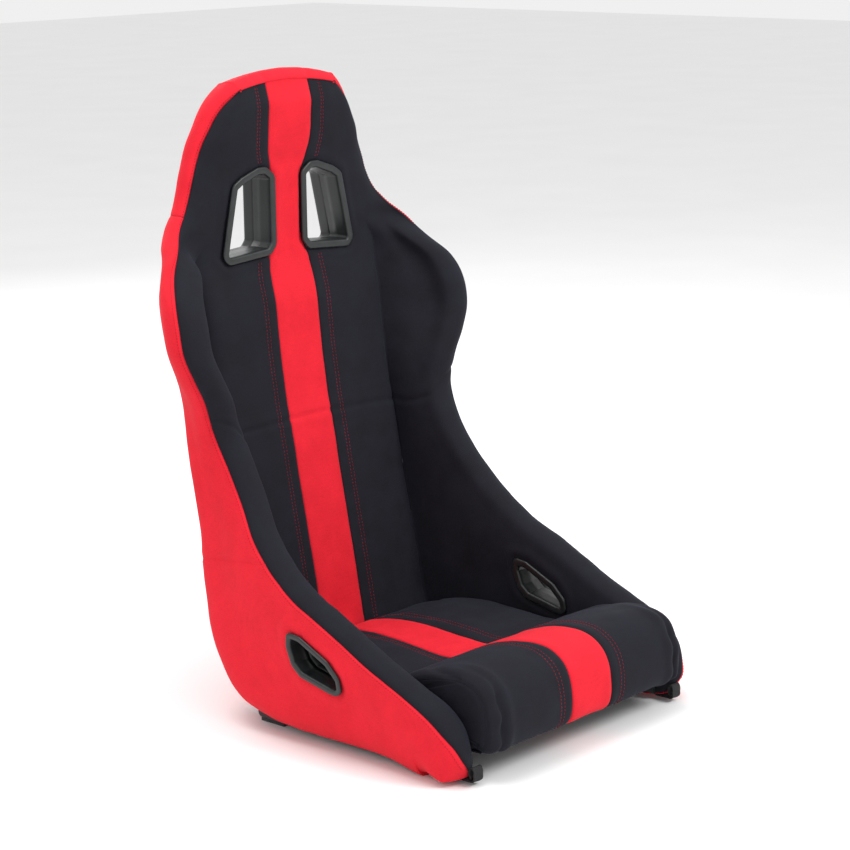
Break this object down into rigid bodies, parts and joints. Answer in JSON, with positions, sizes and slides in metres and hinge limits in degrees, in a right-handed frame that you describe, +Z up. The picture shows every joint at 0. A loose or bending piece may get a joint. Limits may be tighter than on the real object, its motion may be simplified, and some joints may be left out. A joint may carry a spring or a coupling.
{
  "type": "racing bucket seat",
  "caption": "Fixed-back bucket seat on a bent steel tube frame, with foam bolsters, sewn two-colour cover, harness slots and a lift-out seat cushion.",
  "frame": {"origin": "centre of the four floor-mounting holes, in the plane of the foot plates' undersides", "axes": "+Z up, the occupant faces -Y, +X to the right of a viewer who looks at the seat's front"},
  "size_m": [0.584, 0.6122, 0.882],
  "materials": {
    "frame_steel": "satin",
    "zinc_steel": "zinc plated",
    "foam": "matte",
    "black_cloth": "matte knit",
    "red_cloth": "matte weave",
    "webbing": "matte",
    "felt": "matte",
    "black_plastic": "satin"
  },
  "bodies": {
    "shell": {"back_foam": "foam", "back_panel_left": "black_cloth", "back_panel_right": "black_cloth", "back_stripe": "red_cloth", "back_upright_left": "frame_steel", "back_upright_right": "frame_steel", "back_webbing": "webbing", "base_rail_left": "frame_steel", "base_rail_right": "frame_steel", "bolster_cover_left": "black_cloth", "bolster_cover_right": "black_cloth", "bolster_foam_left": "foam", "bolster_foam_right": "foam", "foot_plate_front_left": "frame_steel", "foot_plate_front_right": "frame_steel", "foot_plate_rear_left": "frame_steel", "foot_plate_rear_right": "frame_steel", "front_cross_tube": "frame_steel", "head_band": "red_cloth", "head_cross_tube": "frame_steel", "head_foam": "foam", "head_strut": "frame_steel", "hem_tab_left": "webbing", "hem_tab_right": "webbing", "lap_bezel_inner_left": "black_plastic", "lap_bezel_inner_right": "black_plastic", "lap_bezel_outer_left": "black_plastic", "lap_bezel_outer_right": "black_plastic", "lumbar_cross_tube": "frame_steel", "main_hoop": "frame_steel", "rail_end_plugs": "black_plastic", "rear_cover": "red_cloth", "rear_cross_tube": "frame_steel", "seat_felt": "felt", "seat_loop_strips": "webbing", "seat_webbing": "webbing", "shoulder_bezel_front_left": "black_plastic", "shoulder_bezel_front_right": "black_plastic", "shoulder_bezel_rear_left": "black_plastic", "shoulder_bezel_rear_right": "black_plastic", "shoulder_cross_tube": "frame_steel", "side_cover_left": "red_cloth", "side_cover_right": "red_cloth", "webbing_clips": "zinc_steel", "weld_nuts": "zinc_steel"},
    "cushion": {"cushion_base_cloth": "black_cloth", "cushion_boxing": "black_cloth", "cushion_cover_left": "black_cloth", "cushion_cover_right": "black_cloth", "cushion_foam": "foam", "cushion_hook_strips": "webbing", "cushion_stripe": "red_cloth"}
  },
  "joints": [
    {"name": "cushion_lift", "type": "slide", "parent": "shell", "child": "cushion", "axis": [0, 0, 1], "range_m": [0, 0.25]}
  ]
}
